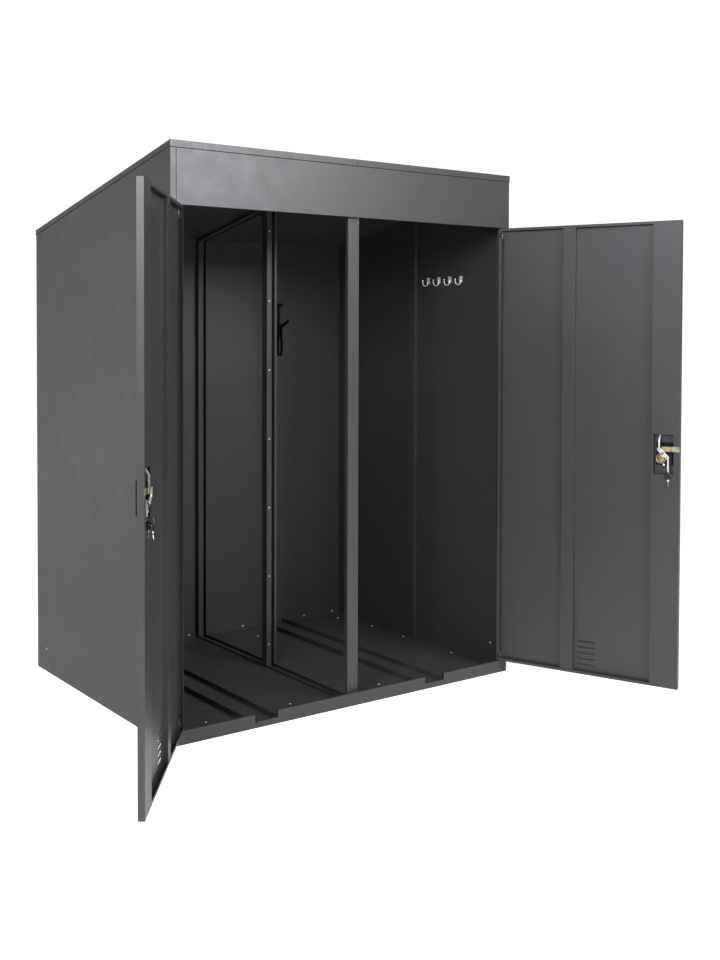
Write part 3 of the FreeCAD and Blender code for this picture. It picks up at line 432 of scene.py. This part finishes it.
def sweep(bm, pts, radii, segs=14, mat=0):
    """A round bar along pts (world metres), radii in mm, closed at both ends."""
    n = len(pts)
    tangents = []
    for i in range(n):
        a, b = pts[max(0, i - 1)], pts[min(n - 1, i + 1)]
        tangents.append((b - a).normalized())
    ref = Vector((0, 0, 1)) if abs(tangents[0].z) < 0.9 else Vector((0, 1, 0))
    u = (ref - tangents[0] * ref.dot(tangents[0])).normalized()
    loops = []
    for i in range(n):
        u = (u - tangents[i] * u.dot(tangents[i])).normalized()
        v = tangents[i].cross(u)
        r = radii[i] * MM
        loops.append([bm.verts.new(pts[i] + (u * math.cos(2 * math.pi * k / segs) + v * math.sin(2 * math.pi * k / segs)) * r)
                      for k in range(segs)])
    faces = []
    for a, b in zip(loops, loops[1:]):
        for k in range(segs):
            j = (k + 1) % segs
            faces.append(bm.faces.new((a[k], a[j], b[j], b[k])))
    faces.append(bm.faces.new(loops[0][::-1]))
    faces.append(bm.faces.new(loops[-1]))
    for f in faces:
        f.material_index = mat


def band(bm, pts, across, half_width, half_thick, closed=False, mat=0):
    """A flat strap along pts with its width along the unit vector across (mm sizes)."""
    n = len(pts)
    section = []
    for sx, sy in ((-1, -1), (1, -1), (1, 1), (-1, 1)):
        cut = 0.55
        corner = [(sx * half_width, sy * half_thick * (1 - cut)), (sx * (half_width - half_thick * cut), sy * half_thick)]
        if (sx, sy) in ((1, -1), (-1, 1)):
            corner = corner[::-1]
        section += corner
    loops = []
    for i in range(n):
        if closed:
            a, b = pts[i - 1], pts[(i + 1) % n]
        else:
            a, b = pts[max(0, i - 1)], pts[min(n - 1, i + 1)]
        nrm = across.cross((b - a).normalized()).normalized()
        loops.append([bm.verts.new(pts[i] + (across * w + nrm * t) * MM) for w, t in section])
    m = len(section)
    for i in range(n if closed else n - 1):
        a, b = loops[i], loops[(i + 1) % n]
        for k in range(m):
            j = (k + 1) % m
            bm.faces.new((a[k], a[j], b[j], b[k])).material_index = mat
    if not closed:
        bm.faces.new(loops[0][::-1]).material_index = mat
        bm.faces.new(loops[-1]).material_index = mat


def rounded(pts, radius, steps=4):
    """An outline with its corners rounded."""
    out = []
    n = len(pts)
    for i in range(n):
        p = Vector((*pts[i], 0))
        a = (Vector((*pts[i - 1], 0)) - p)
        b = (Vector((*pts[(i + 1) % n], 0)) - p)
        r = min(radius, a.length * 0.45, b.length * 0.45)
        s, e = p + a.normalized() * r, p + b.normalized() * r
        for k in range(steps + 1):
            t = k / steps
            q = s * (1 - t) ** 2 + p * 2 * t * (1 - t) + e * t ** 2
            out.append((q.x, q.y))
    return out


def slab(bm, place, outline, h0, h1, mat=0):
    """An outline in the first two local axes, thick from h0 to h1."""
    low = [bm.verts.new(place(x, y, h0)) for x, y in outline]
    high = [bm.verts.new(place(x, y, h1)) for x, y in outline]
    n = len(outline)
    faces = [bm.faces.new(low[::-1]), bm.faces.new(high)]
    for i in range(n):
        j = (i + 1) % n
        faces.append(bm.faces.new((low[i], low[j], high[j], high[i])))
    for f in faces:
        f.material_index = mat


def box_outline(x0, x1, y0, y1):
    return [(x0, y0), (x1, y0), (x1, y1), (x0, y1)]


# ------------------------------------------------------------------ screws and rivets
def hexagon(r):
    def at(t):
        t = (t + math.pi / 6) % (math.pi / 3) - math.pi / 6
        return r * math.cos(math.pi / 6) / math.cos(t)
    return at


def cross_slot(r):
    def at(t):
        lobe = abs(math.cos(2 * t)) ** 3
        return r * (0.30 + 0.70 * lobe)
    return at


def head(bm, pos, axis, r, h, kind):
    place = facing(pos, axis)
    rings = [(r * 0.97, 0), (r, h * 0.12), (r, h * 0.34), (r * 0.93, h * 0.62), (r * 0.80, h * 0.84), (r * 0.62, h * 0.97)]
    if kind == "hex":
        rings += [(r * 0.50, h), (hexagon(r * 0.46), h), (hexagon(r * 0.44), h * 0.9), (hexagon(r * 0.42), h * 0.25)]
    elif kind == "cross":
        rings += [(r * 0.56, h), (cross_slot(r * 0.54), h), (cross_slot(r * 0.46), h * 0.3)]
    else:
        rings += [(r * 0.36, h), (r * 0.26, h * 0.98), (r * 0.20, h * 0.72)]
    revolve(bm, place, rings, 24)


def heads(name, node, items, mat):
    bm = bmesh.new()
    for pos, axis, r, h, kind in items:
        head(bm, pos, axis, r, h, kind)
    return finish(name, bm, mat, "cabinet", (node,), 0, 30)


W, D = 1500.0, 1150.0
heads("floor_screw_heads", "floor_screws",
      [((x, y, 10), (0, 0, 1), 4.2, 2.0, "cross") for x, y in
       ((547, 127), (547, 1000), (200, 127), (200, 1000), (953, 127), (953, 1000),
        (W - 30, 297), (W - 30, 619), (W - 30, 848), (30, 297), (30, 619), (30, 848))], M_SCREW)
wall = [((x, D - 1.5, 22), (0, -1, 0), 4.0, 2.0, "cross") for x in (40, 201, 535, 690, 965, 1299, 1460)]
for z in (94, 1740):
    wall += [((1.5, 91, z), (1, 0, 0), 4.0, 2.0, "cross"), ((W - 1.5, 91, z), (-1, 0, 0), 4.0, 2.0, "cross")]
for z in (214, 980, 1500):
    wall += [((1.5, 885, z), (1, 0, 0), 3.0, 1.2, "rivet"), ((W - 1.5, 885, z), (-1, 0, 0), 3.0, 1.2, "rivet")]
heads("wall_screw_heads", "wall_screws", wall, M_WALLHEAD)
heads("side_screw_heads", "side_screws",
      [((x, y, z), (sx, 0, 0), 5.0, 1.4, "hex") for x, sx in ((0, -1), (W, 1)) for y in (92, D - 92) for z in (90,)],
      M_SCREW)
heads("partition_rivet_heads", "partition_rivets",
      [((735.75, 566, 101 + 275.5 * i), (0, -1, 0), 3.2, 1.4, "rivet") for i in range(7)], M_SCREW)
heads("centre_post_screw_heads", "centre_post_screws",
      [((x, 21.5, z), (0, -1, 0), 2.2, 0.35, "cross") for z in (1752, 1244, 575, 66) for x in (742, 758)],
      M_DARKSCREW)

# ------------------------------------------------------------------ coat hooks
bm = bmesh.new()
J = [(2.3, 1577), (2.4, 1570), (2.7, 1563.5), (5.6, 1557.4), (11, 1553.7), (18, 1553.3), (25, 1556), (29.8, 1561.5),
     (31.5, 1568.5), (31.6, 1573)]
for side in (-1, 1):
    for i in range(4):
        y = 280.0 + 70.0 * i

        def at(u, z, y=y, side=side):
            return cab(3.5 + u if side < 0 else W - 3.5 - u, y, z)
        path = smooth_path([at(u, z) for u, z in J], 4)
        radii = [2.3] * len(path)
        radii[0], radii[1] = 1.2, 2.1
        for z, r in ((1574.2, 3.1), (1575.6, 3.5), (1577.0, 3.3), (1578.1, 2.4), (1578.7, 1.0)):
            path.append(at(31.6, z))
            radii.append(r)
        sweep(bm, path, radii, 12)
        axis = (1, 0, 0) if side < 0 else (-1, 0, 0)
        place = facing((3.5 if side < 0 else W - 3.5, y, 1576), axis)
        slab(bm, place, rounded(box_outline(-9, 9, -14, 14), 3.5), 0.0, 1.9)
        revolve(bm, facing((3.5 if side < 0 else W - 3.5, y, 1585), axis),
                [(2.6, 1.8), (2.6, 2.3), (2.0, 2.9), (1.0, 3.2)], 16)
finish("coat_hook_set", bm, M_HOOK, "cabinet", ("coat_hooks",), 0.35, 40)

# ------------------------------------------------------------------ wheel hooks
bm = bmesh.new()
for cx in (364.5, 1143.5):
    place = facing((cx, D - 1.5, 1422.5), (0, -1, 0))
    slab(bm, place, rounded(box_outline(-17, 17, -62.5, 62.5), 6), 0.0, 4.0)
    for z in (-48, 52):
        revolve(bm, facing((cx, D - 5.5, 1422.5 + z), (0, -1, 0)),
                [(4.2, 0), (4.2, 0.7), (3.4, 1.5), (2.2, 1.9), (hexagon(1.9), 1.9), (hexagon(1.8), 0.6)], 24)
    wall_end, nose = cab(cx, D - 4.5, 1363.5), cab(cx, D - 100.5, 1403.5)
    run = nose - wall_end
    steps = [(0.0, 8.6), (0.03, 8.4), (0.05, 7.0), (0.07, 6.6), (0.3, 6.5), (0.6, 6.5), (0.94, 6.5), (0.985, 6.3),
             (1.015, 5.4), (1.035, 4.0), (1.046, 2.0)]
    sweep(bm, [wall_end + run * t for t, r in steps], [r for t, r in steps], 20)
    start, end = cab(cx, D - 4.5, 1471), cab(cx, D - 41.5, 1477)
    run = end - start
    steps = [(0.0, 6.4), (0.05, 6.2), (0.08, 4.8), (0.5, 4.5), (0.93, 4.5), (0.95, 5.0), (0.98, 7.2), (1.06, 8.0),
             (1.13, 7.8), (1.19, 6.2), (1.215, 3.4)]
    sweep(bm, [start + run * t for t, r in steps], [r for t, r in steps], 20)
finish("wheel_hook_set", bm, M_BLACK, "cabinet", ("wheel_hooks",), 0.5, 40)

# straps: a loop of webbing over the thick prong, with its loose end
bm = bmesh.new()
for cx in (364.5, 1143.5):
    half = [(0, 1388.6), (5.6, 1386.8), (8.0, 1380), (6.6, 1362), (7.0, 1335), (9.0, 1303), (9.4, 1275), (6.6, 1252), (0, 1245.4)]
    loop = half + [(-x, z) for x, z in half[-2:0:-1]]
    pts = smooth_path([cab(cx + x, D - 30.0, z) for x, z in loop], 4, True)
    band(bm, pts, Vector((0, 1, 0)), 9.4, 1.1, True)
    tail = [(-8.9, 1352), (-9.6, 1340), (-11.6, 1320), (-12.9, 1296), (-12.6, 1272)]
    band(bm, smooth_path([cab(cx + x, D - 29.5, z) for x, z in tail], 5), Vector((0, 1, 0)), 7.8, 1.0)
    # sewn patch where the loop is closed
    band(bm, [cab(cx + 7.4, D - 30.0, z) for z in (1370, 1361, 1352)], Vector((0, 1, 0)), 9.0, 1.2)
finish("wheel_strap_set", bm, M_WEB, "cabinet", ("wheel_straps",), 0, 50)


# ------------------------------------------------------------------ painted shadow line under the roof lip, hinge brackets
def roof_z(y):
    return 1975.0 - (1975.0 - 1760.0) * y / D


# painted shadow: a black bead round the lower edges of the roof lip, standing in for the shade line beneath it
bm = bmesh.new()
for x in (-0.15, W + 0.15):
    n = 12
    pts = [cab(x, -0.4 + (D + 0.8) * i / n, roof_z(D * i / n) - 19.9) for i in range(n + 1)]
    sweep(bm, pts, [1.0] * (n + 1), 8)
sweep(bm, [cab(W * i / 12, -0.15, 1975 - 23.95) for i in range(13)], [1.0] * 13, 8)
sweep(bm, [cab(W * i / 12, D + 0.15, roof_z(D) - 19.9) for i in range(13)], [1.0] * 13, 8)
finish("roof_lip_shadow_line", bm, M_SHADOW_LINE, "cabinet", (), 0, 50)

for side in ("left", "right"):
    bm = bmesh.new()
    base = on_door(side)
    for z0 in (1722.0, 81.0):
        def flat(x, y, h, z0=z0, base=base):
            return base(x, h, z0 + y)
        slab(bm, flat, rounded(box_outline(14, 38, 0, 12), 2.0, 3), 1.5, 3.6)
        slab(bm, flat, rounded(box_outline(12.6, 14.6, 0, 12), 0.6, 2), 1.6, 12.0)
        for a in (20, 31):
            revolve(bm, lambda x, y, h, a=a, z0=z0, base=base: base(a + x, 3.5 + h, z0 + 6 + y),
                    [(2.4, 0.0), (2.4, 0.4), (1.8, 1.0), (0.8, 1.2)], 16)
    finish(side + "_hinge_brackets", bm, M_BODY, side + "_door", (), 0.25, 40)


# ------------------------------------------------------------------ locks
def door_frame(side, a, back, z):
    """Local frame on a door: first axis along a, second up, third away from the sheet."""
    place = on_door(side)

    def at(x, y, h):
        return place(a + x, back + h, z + y)
    return at


KEYS = {"right": [(684.5, 23.0, 830.8, 0.0, 0.0)], "left": []}
for along, lean in ((-6.5, 5.0), (4.5, -6.0)):
    turn, mean, level = math.radians(48), 11.4, 848.4
    low = level - math.sqrt(mean * mean - along * along)
    KEYS["left"].append((682 + math.cos(turn) * along, 30.6 + math.sin(turn) * along, low - 4.2, -lean, 2.0))

for side in ("left", "right"):
    door_body = side + "_door"
    # rim and face of the lock case disc
    bm = bmesh.new()
    at = door_frame(side, 655.5, 18.5, 895)
    ring_of(bm, at, [(14.8, 0.0), (18.3, 0.0), (18.3, 0.5), (17.6, 1.1), (15.6, 1.1), (14.8, 0.4)], 40)
    finish(side + "_case_rim", bm, M_YELLOW, door_body, (), 0, 40)
    bm = bmesh.new()
    at = door_frame(side, 655.5, 20.1, 895)
    revolve(bm, at, [(12.6, 0.0), (12.6, 0.35), (12.0, 0.6), (4.4, 0.6), (4.0, 0.2)], 40)
    finish(side + "_case_face", bm, M_COPPER, door_body, (), 0, 40)
    # white pin of the case
    bm = bmesh.new()
    at = door_frame(side, 666.2, 19.4, 872.7)
    revolve(bm, at, [(4.3, 0.0), (4.3, 0.5), (3.4, 1.2), (1.8, 1.6), (1.0, 1.5)], 24)
    finish(side + "_case_pin", bm, M_WHITE, door_body, (), 0, 40)
    # eyes of the cam and the nut on the spindle
    bm = bmesh.new()
    for da, dz, r in ((-14.5, 13.0, 3.6), (15.0, -15.0, 3.6)):
        at = door_frame(side, 666 + da, 28.55, 916 + dz)
        ring_of(bm, at, [(1.5, 0.0), (r, 0.0), (r, 0.45), (r - 0.7, 0.85), (2.2, 0.85), (1.5, 0.3)], 24)
    at = door_frame(side, 666, 30.5, 916)
    revolve(bm, at, [(hexagon(5.2), -1.8), (hexagon(5.2), 0.6), (4.4, 1.1), (2.6, 1.1), (2.4, 0.5)], 36)
    finish(side + "_cam_eyes", bm, M_EYE, side + "_handle", (), 0, 35)
    # plastic heads and pale collars of the keys
    bm = bmesh.new()
    collar = bmesh.new()
    base = on_door(side)
    s = DOORS[side][0]
    for a, back, z, lean, rise in KEYS[side]:
        le = math.radians(lean)

        def at(x, y, h, a=a, back=back, z=z, le=le, rise=rise):
            # x along a, y up from the head's middle, h behind the key's middle
            dz = y - (rise + 4)
            yy = h * math.cos(le) - dz * math.sin(le)
            zz = h * math.sin(le) + dz * math.cos(le)
            return base(a + x, back + yy, z + rise + 4 + zz)

        def off(x, y, h, at=at, rise=rise):
            return at(x, y, h)
        outer = [(12.4 * math.cos(t), 12.4 * math.sin(t)) for t in [2 * math.pi * i / 40 for i in range(40)]]
        inner = [(4.75 * math.cos(t), rise + 4.75 * math.sin(t)) for t in [2 * math.pi * i / 40 for i in range(40)]]
        rows = []
        for rad, hh in ((0.0, -1.0), (0.0, 1.0), (0.12, 1.65), (0.88, 1.65), (1.0, 1.2), (1.0, -1.2), (0.88, -1.65), (0.12, -1.65)):
            rows.append([(o[0] + (i_[0] - o[0]) * rad, o[1] + (i_[1] - o[1]) * rad, hh) for o, i_ in zip(outer, inner)])
        loops = [[bm.verts.new(at(*p)) for p in row] for row in rows]
        for k in range(len(loops)):
            p, q_ = loops[k], loops[(k + 1) % len(loops)]
            for i in range(40):
                j = (i + 1) % 40
                bm.faces.new((p[i], p[j], q_[j], q_[i]))
        slab(collar, off, rounded(box_outline(-4.3, 4.3, -18.2, -11.6), 1.0, 3), -1.5, 1.5)
    finish(side + "_key_heads", bm, M_KEYHEAD, side + "_key_bunch", (), 0, 40)
    finish(side + "_key_collars", collar, M_WHITE, side + "_key_bunch", (), 0.3, 40)

# ------------------------------------------------------------------ stage, light, camera
def make_floor():
    bm = bmesh.new()
    bmesh.ops.create_grid(bm, x_segments=1, y_segments=1, size=20)
    me = bpy.data.meshes.new("stage_floor")
    bm.to_mesh(me)
    bm.free()
    ob = bpy.data.objects.new("stage_floor", me)
    ob.location = (0, 0, -0.0005)
    bpy.context.scene.collection.objects.link(ob)
    m, t, b = new_material("stage_white")
    b.inputs["Base Color"].default_value = (0.92, 0.92, 0.92, 1)
    b.inputs["Roughness"].default_value = 0.9
    b.inputs["Emission Color"].default_value = (1, 0.99, 0.98, 1)
    ray = t.nodes.new("ShaderNodeLightPath")
    t.links.new(to_range(t, ray.outputs["Is Camera Ray"], 0.30, 0.82, (0.0, 1.0)), b.inputs["Emission Strength"])
    ob.data.materials.append(m)


make_floor()

scene = bpy.context.scene
world = bpy.data.worlds.new("studio")
scene.world = world
world.use_nodes = True
wt = world.node_tree
bg = wt.nodes["Background"]
bg.inputs["Color"].default_value = (1, 0.99, 0.985, 1)
bg.inputs["Strength"].default_value = 0.24
seen = wt.nodes.new("ShaderNodeBackground")
seen.inputs["Color"].default_value = (1, 1, 1, 1)
seen.inputs["Strength"].default_value = 1.1
path = wt.nodes.new("ShaderNodeLightPath")
both = wt.nodes.new("ShaderNodeMixShader")
wt.links.new(path.outputs["Is Camera Ray"], both.inputs[0])
wt.links.new(bg.outputs[0], both.inputs[1])
wt.links.new(seen.outputs[0], both.inputs[2])
wt.links.new(both.outputs[0], wt.nodes["World Output"].inputs["Surface"])
scene.view_settings.view_transform = "Standard"
scene.view_settings.look = "None"


def area_light(name, at, target, size, power, colour=(1, 1, 1)):
    data = bpy.data.lights.new(name, "AREA")
    data.color = colour
    data.shape = "RECTANGLE"
    data.size, data.size_y = size
    data.energy = power
    ob = bpy.data.objects.new(name, data)
    ob.location = at
    ob.rotation_mode = "QUATERNION"
    ob.rotation_quaternion = (Vector(target) - Vector(at)).to_track_quat("-Z", "Y")
    scene.collection.objects.link(ob)
    ob.visible_camera = False
    return ob


area_light("front_box", (0.9, -4.4, 2.75), (-0.1, -0.5, 1.7), (2.6, 1.3), 166, (0.96, 0.97, 1.0))
area_light("left_box", (-3.7, -3.4, 2.9), (-0.6, -0.9, 1.5), (1.6, 1.4), 165, (0.94, 0.96, 1.0))
area_light("left_high", (-4.2, -1.5, 2.8), (1.0, -1.0, 1.6), (1.3, 1.0), 30, (0.93, 0.96, 1.0))
area_light("side_box", (-3.0, 3.6, 1.2), (-0.75, 0.0, 0.9), (2.2, 2.6), 12, (1.0, 0.93, 0.91))


def make_camera():
    f, px, py = 1172.6, 343.18, 362.53
    yaw, pitch, roll = math.radians(35.974), math.radians(-1.548), math.radians(0.158)
    at = Vector((-1.7723 - 0.75, -3.39065 - 0.575, 1.35996))
    d = Vector((math.sin(yaw) * math.cos(pitch), math.cos(yaw) * math.cos(pitch), math.sin(pitch)))
    r = Vector((math.cos(yaw), -math.sin(yaw), 0))
    u = r.cross(d)
    r2 = r * math.cos(roll) + u * math.sin(roll)
    u2 = -r * math.sin(roll) + u * math.cos(roll)
    cam = bpy.data.cameras.new("camera")
    cam.sensor_width = 36.0
    cam.sensor_fit = "AUTO"
    cam.lens = f / 960 * 36
    cam.shift_x = (360 - px) / 960
    cam.shift_y = -(480 - py) / 960
    cam.clip_start, cam.clip_end = 0.05, 100
    ob = bpy.data.objects.new("camera", cam)
    ob.rotation_mode = "QUATERNION"
    rot = Matrix((
        (r2.x, u2.x, -d.x),
        (r2.y, u2.y, -d.y),
        (r2.z, u2.z, -d.z),
    ))
    ob.rotation_quaternion = rot.to_quaternion()
    ob.location = at
    scene.collection.objects.link(ob)
    scene.camera = ob


make_camera()
